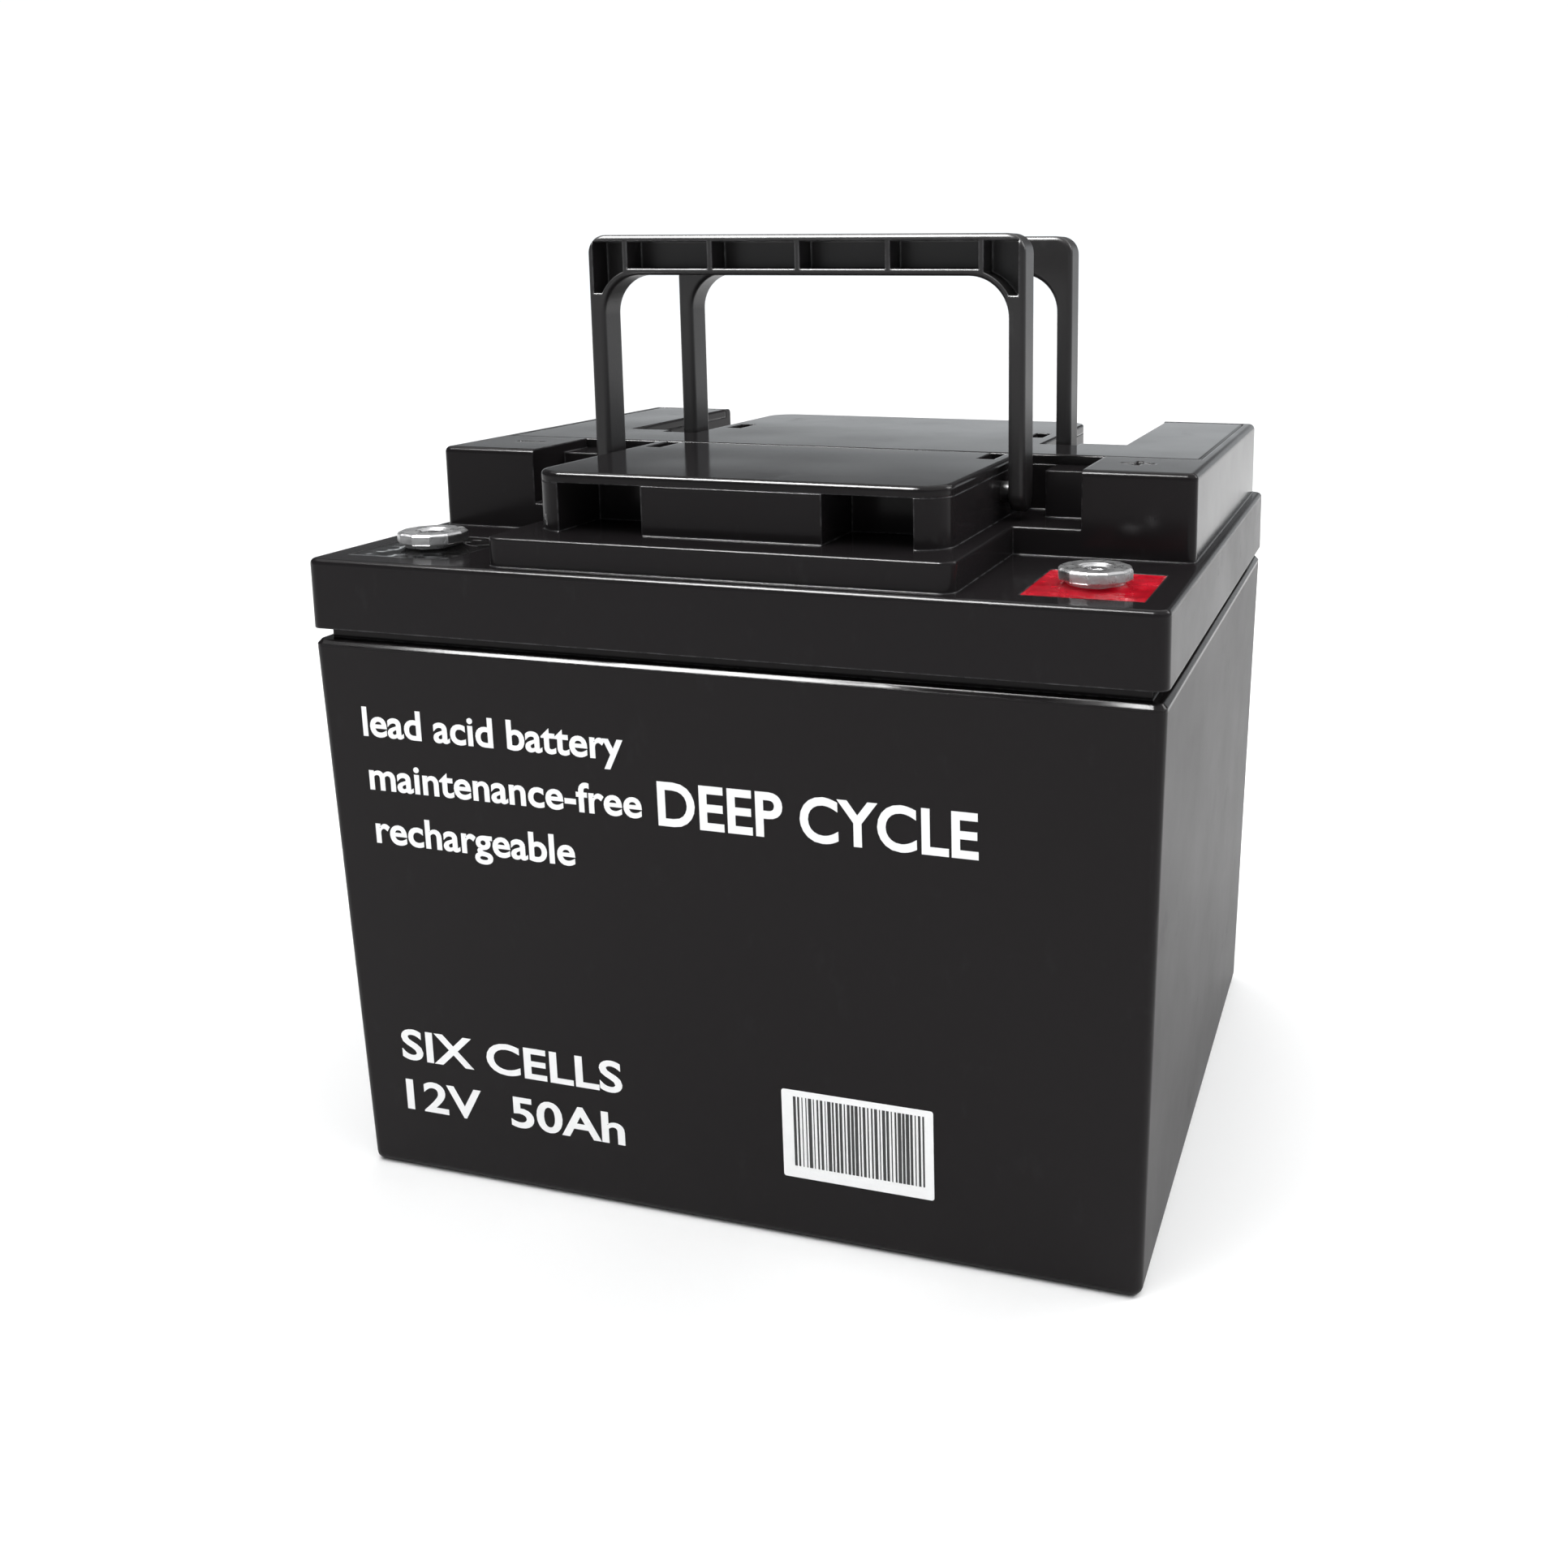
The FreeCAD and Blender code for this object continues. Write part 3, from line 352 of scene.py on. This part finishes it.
# Plate stacks: each cell has positive plates of brown paste and negative plates of grey paste, both on
# cast lead grids whose wires show through, with white glass mats pressed between them.
def pasted_plate(name, paste, edge_highlight_and_wear_tint, wire):
    """Dried paste on a lead grid, cracked a little, with the grid's wires just showing."""
    material, tree, shader, place = blank_material(name)
    crumbs = noise(tree, place, 420, detail=6, roughness=0.7)
    stains = noise(tree, place, 38, detail=3)
    turned = node(tree, "ShaderNodeMapping", {"Vector": place, "Rotation": (0, math.pi / 2, math.pi / 2)})
    wires = node(tree, "ShaderNodeTexBrick", {
        "Vector": turned.outputs[0], "Scale": 1.0, "Mortar Size": 0.0005,
        "Brick Width": 0.011, "Row Height": 0.006,
        "Color1": (0, 0, 0, 1), "Color2": (0, 0, 0, 1), "Mortar": (1, 1, 1, 1),
    }, offset=0.0).outputs["Color"]
    crumbled = tint(tree, crumbs, paste, edge_highlight_and_wear_tint)
    base = node(tree, "ShaderNodeMix", {0: stains, 6: crumbled, 7: (*paste, 1)}, data_type="RGBA")
    shown = node(tree, "ShaderNodeMix", {0: wires, 6: base.outputs[2], 7: (*wire, 1)}, data_type="RGBA")
    tree.links.new(shown.outputs[2], shader.inputs["Base Color"])
    tree.links.new(spread(tree, crumbs, 0.3, 0.7, 0.95, 0.75), shader.inputs["Roughness"])
    tree.links.new(relief(tree, crumbs, 0.00015), shader.inputs["Normal"])
    return material


def glass_mat():
    """Felted glass fibre, white and matt, with the fibres lying in the sheet."""
    material, tree, shader, place = blank_material("glass_mat")
    fibres = noise(tree, place, 900, detail=4, roughness=0.7, stretch=(1, 0.2, 1))
    crossing = noise(tree, place, 900, detail=4, roughness=0.7, stretch=(1, 1, 0.2))
    felt = node(tree, "ShaderNodeMath", {0: fibres, 1: crossing}, operation="MAXIMUM").outputs[0]
    tree.links.new(tint(tree, felt, (0.62, 0.62, 0.6), (0.9, 0.9, 0.88)), shader.inputs["Base Color"])
    tree.links.new(spread(tree, felt, 0.3, 0.8, 1.0, 0.85), shader.inputs["Roughness"])
    tree.links.new(relief(tree, felt, 0.0002), shader.inputs["Normal"])
    return material


positive_plate = pasted_plate("positive_plate", (0.075, 0.035, 0.022), (0.14, 0.07, 0.045), (0.2, 0.17, 0.16))
negative_plate = pasted_plate(
    "negative_plate", (0.17, 0.175, 0.185), (0.27, 0.275, 0.285), (0.36, 0.37, 0.38)
)
mat = glass_mat()
cells = range(1, 7)
for cell in cells:
    dress(positive_plate, f"cell_{cell}_positive_plates")
    dress(negative_plate, f"cell_{cell}_negative_plates")
    dress(mat, f"cell_{cell}_separators")


# Straps, welds and posts: cast in lead on the plate lugs, joined through the partitions, and risen to
# the terminals at the two end cells. Fresh lead dulls to a blotched grey.
def cast_lead():
    """Soft cast metal with a dull skin, brighter where it is scraped."""
    material, tree, shader, place = blank_material("cast_lead")
    skin = noise(tree, place, 160, detail=6, roughness=0.65)
    scraped = spread(tree, noise(tree, place, 420, detail=3, stretch=(0.2, 1, 1)), 0.58, 0.7, 0.0, 1.0)
    dull = tint(tree, skin, (0.14, 0.145, 0.155), (0.3, 0.31, 0.325))
    shown = node(tree, "ShaderNodeMix", {0: scraped, 6: dull, 7: (0.52, 0.53, 0.54, 1)}, data_type="RGBA")
    tree.links.new(shown.outputs[2], shader.inputs["Base Color"])
    shader.inputs["Metallic"].default_value = 1.0
    tree.links.new(spread(tree, skin, 0.3, 0.7, 0.62, 0.42), shader.inputs["Roughness"])
    tree.links.new(relief(tree, skin, 0.0002), shader.inputs["Normal"])
    return material


lead = cast_lead()
dress(lead, "positive_post", "negative_post", "partition_welds")
for cell in cells:
    dress(lead, f"cell_{cell}_positive_strap", f"cell_{cell}_negative_strap")


# Sealing bead: black epoxy run into the groove between container and lid, which holds the two together.
# It sets with a wet shine and small swirls.
def set_resin(name, deep, thin, gloss, swirl):
    """Cast resin: colour that deepens and thins in slow swirls under a wet surface."""
    material, tree, shader, place = blank_material(name)
    swirls = noise(tree, place, 95, detail=4, roughness=0.55)
    bubbles = node(tree, "ShaderNodeTexVoronoi", {"Vector": place, "Scale": 620.0}, feature="F1")
    pits = spread(tree, bubbles.outputs["Distance"], 0.0, 0.16, 0.0, 1.0)
    depth = spread(tree, swirls, 0.35, 0.65, 0, 1)
    tree.links.new(tint(tree, depth, deep, thin), shader.inputs["Base Color"])
    tree.links.new(spread(tree, swirls, 0.3, 0.7, *gloss), shader.inputs["Roughness"])
    rolling = relief(tree, noise(tree, place, 150, detail=2), swirl)
    tree.links.new(relief(tree, pits, 0.00003, rolling), shader.inputs["Normal"])
    shader.inputs["Coat Weight"].default_value = 0.6
    shader.inputs["Coat Roughness"].default_value = 0.04
    return material


bead_resin = set_resin("sealing_resin", (0.006, 0.006, 0.006), (0.014, 0.014, 0.014), (0.12, 0.3), 0.0002)
dress(bead_resin, "sealing_resin")


# Lid: one moulding in the same black ABS as the container, with a skirt over the rim, a platform, a block
# for the handles and two bars. It is polished, with soft edges that catch the light.
skirt_height = 0.0155
lid_plastic = moulded_plastic(
    "lid_plastic", (0.0128, 0.0114, 0.0121), (0.0175, 0.0165, 0.0172), (0.12, 0.24),
    0.000005, 0.08, 0.0007, 0.22, coarse=(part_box("lid")[0].z + skirt_height, 0.16),
)
dress(lid_plastic, "lid")


# Terminals: turned brass inserts with a tin plate, a round contact face and an M6 thread in the middle.
# The flange has twelve flats, cut a little unevenly, and the shank goes down through the lid.
def tin_plate():
    """Bright tin over turned metal: rings from the tool, smears, and a milky bloom."""
    material, tree, shader, place = blank_material("tin_plate")
    bloom = noise(tree, place, 480, detail=5, roughness=0.65)
    smears = noise(tree, place, 1500, detail=3, stretch=(1, 0.25, 1))
    tree.links.new(tint(tree, bloom, (0.19, 0.19, 0.192), (0.46, 0.46, 0.465)), shader.inputs["Base Color"])
    shader.inputs["Metallic"].default_value = 1.0
    tree.links.new(spread(tree, bloom, 0.3, 0.7, 0.4, 0.22), shader.inputs["Roughness"])
    beaten = relief(tree, noise(tree, place, 620, detail=3), 0.00008)
    tree.links.new(relief(tree, smears, 0.00002, beaten), shader.inputs["Normal"])
    return material


def turned_solid(name, profile, steps, uneven):
    """A closed solid of revolution about Z. The profile starts and ends on the axis."""
    points = [(0, 0, profile[0][1]), (0, 0, profile[-1][1])]
    for radius, up in profile[1:-1]:
        for step in range(steps):
            angle = 2 * math.pi * step / steps
            far = radius * (1 + uneven(angle, radius))
            points.append((far * math.cos(angle), far * math.sin(angle), up))
    rings = len(profile) - 2
    faces = []
    for step in range(steps):
        after = (step + 1) % steps
        faces.append((0, 2 + after, 2 + step))
        faces.append((1, 2 + (rings - 1) * steps + step, 2 + (rings - 1) * steps + after))
        for ring in range(rings - 1):
            low, high = 2 + ring * steps, 2 + (ring + 1) * steps
            faces.append((low + step, low + after, high + after, high + step))
    mesh = bpy.data.meshes.new(name)
    mesh.from_pydata(points, [], faces)
    return welded(mesh)


def thread_tree(material):
    """The ridge of a screw thread: a three-sided section carried up a helix."""
    tree, given, made = new_geometry_tree("screw_thread", (
        ("Turns", "NodeSocketFloat", 10.0),
        ("Radius", "NodeSocketFloat", 0.0025),
        ("Length", "NodeSocketFloat", 0.01),
        ("Ridge", "NodeSocketFloat", 0.0004),
    ))
    helix = node(tree, "GeometryNodeCurveSpiral", {
        "Resolution": 40, "Rotations": given["Turns"], "Start Radius": given["Radius"],
        "End Radius": given["Radius"], "Height": given["Length"],
    })
    upright = node(tree, "GeometryNodeSetCurveNormal", {"Curve": helix.outputs[0]}, mode="Z_UP")
    section = node(tree, "GeometryNodeCurvePrimitiveCircle",
                   {"Resolution": 3, "Radius": given["Ridge"]}, mode="RADIUS")
    ridge = node(tree, "GeometryNodeCurveToMesh",
                 {"Curve": upright.outputs[0], "Profile Curve": section.outputs[0], "Fill Caps": True})
    real = node(tree, "GeometryNodeRealizeInstances", {"Geometry": ridge.outputs[0]})
    painted = node(tree, "GeometryNodeSetMaterial", {"Geometry": real.outputs[0], "Material": material})
    tree.links.new(painted.outputs[0], made["Geometry"])
    return tree


flange_radius, flange_thick, flange_bevel, flange_flats = 0.008, 0.0025, 0.0005, 12
collar_radius, shank_radius, bore_radius, bore_depth = 0.0064, 0.0055, 0.0026, 0.012
thread_pitch, thread_ridge = 0.001, 0.00036
tin = tin_plate()
screw_thread = thread_tree(tin)
for pole, trim in (("positive", 0.4), ("negative", 2.1)):
    low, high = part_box(f"{pole}_terminal")
    middle = (low + high) / 2
    top = high.z

    def uneven_flats(angle, radius):
        """Twelve flats round the flange, cut a little unevenly, and none on the collar or bore."""
        if radius < collar_radius + 0.0002:
            return 0.0
        half = math.pi / flange_flats
        flat = math.cos(half) / math.cos(angle % (2 * half) - half)
        return flat * (1 - 0.004 * (1 + math.sin(3 * angle + trim))) - 1

    profile = [
        (0, top - bore_depth),
        (bore_radius, top - bore_depth),
        (bore_radius, top - 0.0005),
        (bore_radius + 0.0005, top - 0.00015),
        (bore_radius + 0.0011, top - 0.00015),
        (bore_radius + 0.0013, top),
        (flange_radius - flange_bevel - 0.0002, top),
        (flange_radius - flange_bevel, top - 0.00006),
        (flange_radius - 0.00008, top - flange_bevel + 0.0001),
        (flange_radius, top - flange_bevel - 0.00015),
        (flange_radius, top - flange_thick + 0.00025),
        (flange_radius - 0.0002, top - flange_thick),
        (collar_radius, top - flange_thick),
        (collar_radius - 0.0002, top - flange_thick - 0.0022),
        (shank_radius, top - flange_thick - 0.0024),
        (shank_radius, low.z),
        (0, low.z),
    ]
    terminal_mesh = turned_solid(f"{pole}_terminal_insert", profile, 96, uneven_flats)
    terminal_mesh.transform(Matrix.Translation((middle.x, middle.y, 0)))
    terminal = finished_piece(f"{pole}_terminal_insert", terminal_mesh, tin)
    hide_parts(f"{pole}_terminal")
    thread_length = bore_depth - 2 * thread_pitch
    thread_mesh = grow(f"{pole}_thread", screw_thread, {
        "Turns": thread_length / thread_pitch, "Radius": bore_radius,
        "Length": thread_length, "Ridge": thread_ridge,
    })
    thread_mesh.transform(Matrix.Translation((middle.x, middle.y, top - bore_depth + thread_pitch)))
    finished_piece(f"{pole}_thread", welded(thread_mesh), tin)


# Terminal seals: a rubber ring round each shank, and resin cast over it in a square pocket of the lid.
# The resin creeps up the collar and the pocket's walls and sets in gentle ripples, red at the positive
# pole and black at the negative one.
def soft_rubber(name):
    """Black rubber with a dusting of talc and a faint mould grain."""
    material, tree, shader, place = blank_material(name)
    dust = noise(tree, place, 260, detail=5, roughness=0.6)
    tree.links.new(tint(tree, dust, (0.012, 0.012, 0.012), (0.05, 0.05, 0.05)), shader.inputs["Base Color"])
    tree.links.new(spread(tree, dust, 0.3, 0.7, 0.6, 0.85), shader.inputs["Roughness"])
    tree.links.new(relief(tree, noise(tree, place, 2200), 0.00002), shader.inputs["Normal"])
    return material


resin_hole, pool_round, pool_sink, pool_fade = 0.0062, 0.0008, 0.00025, 0.0009
creep_height, bank_height, ripple_height, wave_count = 0.0013, 0.00022, 0.00015, 9


def resin_pool(name, low, high, hole, seed):
    """A square slab with a round hole, its top drawn up at both edges and rippled between."""
    draw = random.Random(seed)
    waves = [
        (draw.uniform(300, 2000), draw.uniform(0, math.tau), draw.uniform(0, math.tau))
        for _ in range(wave_count)
    ]
    middle = (low + high) / 2
    outline = rounded_corners(
        low.x - middle.x, high.x - middle.x, low.y - middle.y, high.y - middle.y, pool_round, 4
    )
    rim = []
    for (ax, ay), (bx, by) in zip(outline, outline[1:] + outline[:1]):
        pieces = max(1, round(math.hypot(bx - ax, by - ay) / 0.0006))
        rim += [(ax + (bx - ax) * i / pieces, ay + (by - ay) * i / pieces) for i in range(pieces)]
    rings, count = 22, len(rim)
    points, faces = [], []
    for ring in range(rings + 1):
        out = ring / rings
        for across, along in rim:
            far = math.hypot(across, along)
            x = across * (hole / far + (1 - hole / far) * out)
            y = along * (hole / far + (1 - hole / far) * out)
            ripple = sum(math.sin(k * (x * math.cos(a) + y * math.sin(a)) + p) for k, a, p in waves) / 5
            creep = creep_height * math.exp(-(math.hypot(x, y) - hole) / pool_fade)
            edge = min(high.x - middle.x - abs(x), high.y - middle.y - abs(y))
            bank = bank_height * math.exp(-edge / pool_fade)
            up = high.z - pool_sink + creep + bank + ripple_height * ripple * min(1, edge / 0.0015)
            points.append((middle.x + x, middle.y + y, up))
    for across, along in rim:
        points.append((middle.x + across, middle.y + along, low.z))
    for across, along in rim:
        far = math.hypot(across, along)
        points.append((middle.x + across * hole / far, middle.y + along * hole / far, low.z))
    for ring in range(rings + 3):
        after = (ring + 1) % (rings + 3)
        for i in range(count):
            j = (i + 1) % count
            faces.append((ring * count + i, ring * count + j, after * count + j, after * count + i))
    mesh = bpy.data.meshes.new(name)
    mesh.from_pydata(points, [], faces)
    welded(mesh)
    mesh.polygons.foreach_set("use_smooth", [True] * len(mesh.polygons))
    mesh.set_sharp_from_angle(angle=math.radians(50))
    return mesh


dress(soft_rubber("soft_rubber"), "positive_terminal_ring", "negative_terminal_ring")
red_resin = set_resin("red_resin", (0.47, 0.002, 0.013), (0.7, 0.006, 0.026), (0.14, 0.32), 0.0003)
black_resin = set_resin("black_resin", (0.006, 0.006, 0.006), (0.016, 0.015, 0.015), (0.07, 0.2), 0.0003)
for pole, resin, slot, seed in (
    ("positive", red_resin, "red_resin", 3),
    ("negative", black_resin, "black_resin", 8),
):
    low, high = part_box(f"{pole}_terminal_resin")
    pool_mesh = resin_pool(f"{pole}_resin_pool", low, high, resin_hole, seed)
    pool = finished_piece(f"{pole}_resin_pool", pool_mesh, resin)
    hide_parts(f"{pole}_terminal_resin")


# Valve caps: soft rubber cups pushed over the six vents in the lid, held down by the covers.
cap_rubber = soft_rubber("cap_rubber")
for cell in cells:
    dress(cap_rubber, f"valve_cap_{cell}")


# Covers: two flat plates of black ABS welded over the vents, the front one within the block and the rear
# one spread over the bars. They are the glossiest faces and mirror the handles' legs.
cover_plastic = moulded_plastic(
    "cover_plastic", (0.0125, 0.0113, 0.0119), (0.0175, 0.0166, 0.0173), (0.08, 0.17),
    0.000003, 0.1, 0.0006, 0.25,
)
dress(cover_plastic, "front_cover", "rear_cover")


# Handles: two bails in satin black polypropylene, with ribbed pockets in the outer face of the grip, on
# moulded pins that snap into the lid. They stand up to carry and fold down flat.
handle_plastic = moulded_plastic(
    "handle_plastic", (0.013, 0.0118, 0.0124), (0.022, 0.021, 0.022), (0.3, 0.46),
    0.000016, 0.3, 0.0008, 0.25,
)
dress(handle_plastic, "front_handle", "rear_handle")


# Room: a pale floor that runs off into white walls under a dim ceiling, even light from above, a weak
# lamp and a strong one for highlights at the front left, a third behind at the right, and a camera a
# little above the lid.
def pale_floor():
    """Matt painted board, hardly uneven."""
    material, tree, shader, place = blank_material("pale_floor")
    mottle = noise(tree, place, 6, detail=3)
    tree.links.new(tint(tree, mottle, (0.93, 0.93, 0.93), (0.96, 0.96, 0.96)), shader.inputs["Base Color"])
    tree.links.new(spread(tree, mottle, 0.3, 0.7, 0.7, 0.85), shader.inputs["Roughness"])
    tree.links.new(relief(tree, noise(tree, place, 300), 0.00002), shader.inputs["Normal"])
    shader.inputs["Specular IOR Level"].default_value = 0.1
    return material


floor_reach, floor_round = 6, 0.5
floor_outline = rounded_corners(-floor_reach, floor_reach, -floor_reach, floor_reach, floor_round, 8)
floor_mesh = slab("floor", floor_outline, lambda x, y, z: (x, y, z), -0.02, -0.00005)
floor_mesh.materials.append(pale_floor())
floor = bpy.data.objects.new("floor", floor_mesh)
bpy.context.scene.collection.objects.link(floor)

world = bpy.data.worlds.new("white_room")
bpy.context.scene.world = world
world.use_nodes = True
seen, wall_bright, ceiling_dim = 1.08, 0.86, 0.12
room_lean, wall_top, ceiling_foot = -0.11, 0.145, 0.175
toward = node(world.node_tree, "ShaderNodeTexCoord").outputs["Generated"]
slant = node(world.node_tree, "ShaderNodeVectorMath",
             {0: toward, 1: (room_lean, 0, 1)}, operation="DOT_PRODUCT")
cast = spread(world.node_tree, slant.outputs["Value"], wall_top, ceiling_foot, wall_bright, ceiling_dim)
camera_ray = node(world.node_tree, "ShaderNodeLightPath").outputs["Is Camera Ray"]
backdrop = node(world.node_tree, "ShaderNodeMapRange", {"Value": camera_ray, "To Min": cast, "To Max": seen})
background = world.node_tree.nodes["Background"]
background.inputs["Color"].default_value = (0.94, 0.975, 1, 1)
world.node_tree.links.new(backdrop.outputs["Result"], background.inputs["Strength"])


def soft_lamp(name, place, target, width, height, watts, shine_only=False):
    """A rectangular lamp that faces a point, and may light only the highlights."""
    light = bpy.data.lights.new(name, "AREA")
    light.shape = "RECTANGLE"
    light.size, light.size_y, light.energy = width, height, watts
    lamp = bpy.data.objects.new(name, light)
    lamp.location = place
    lamp.rotation_euler = (Vector(target) - Vector(place)).to_track_quat("-Z", "Y").to_euler()
    lamp.visible_diffuse = not shine_only
    bpy.context.scene.collection.objects.link(lamp)


soft_lamp("overhead_lamp", (-0.32, -0.42, 1.35), (0, 0, 0.13), 0.55, 0.4, 4)
soft_lamp("edge_lamp", (-0.38, -0.42, 1.12), (0, 0, 0.15), 0.6, 0.45, 110, shine_only=True)
soft_lamp("rim_lamp", (1.1, 0.8, 0.9), (0, 0, 0.12), 0.5, 0.6, 8)
sky_light = bpy.data.lights.new("ceiling_light", "SUN")
sky_light.energy, sky_light.angle = 3.4, math.radians(110)
ceiling = bpy.data.objects.new("ceiling_light", sky_light)
ceiling.rotation_euler = (math.radians(-6), math.radians(8), 0)
bpy.context.scene.collection.objects.link(ceiling)

camera_data = bpy.data.cameras.new("camera")
camera_data.sensor_width = 36
camera_data.lens = 35.439
camera_data.shift_x, camera_data.shift_y = -0.13, -0.16
camera_data.clip_start = 0.01
camera = bpy.data.objects.new("camera", camera_data)
camera_turn, camera_dip = 0.2799, 0.1738
camera.location = (0.144675, -0.369061, 0.216)
camera.rotation_euler = (math.pi / 2 - camera_dip, 0, camera_turn)
bpy.context.scene.collection.objects.link(camera)
bpy.context.scene.camera = camera
bpy.context.scene.view_settings.view_transform = "Standard"
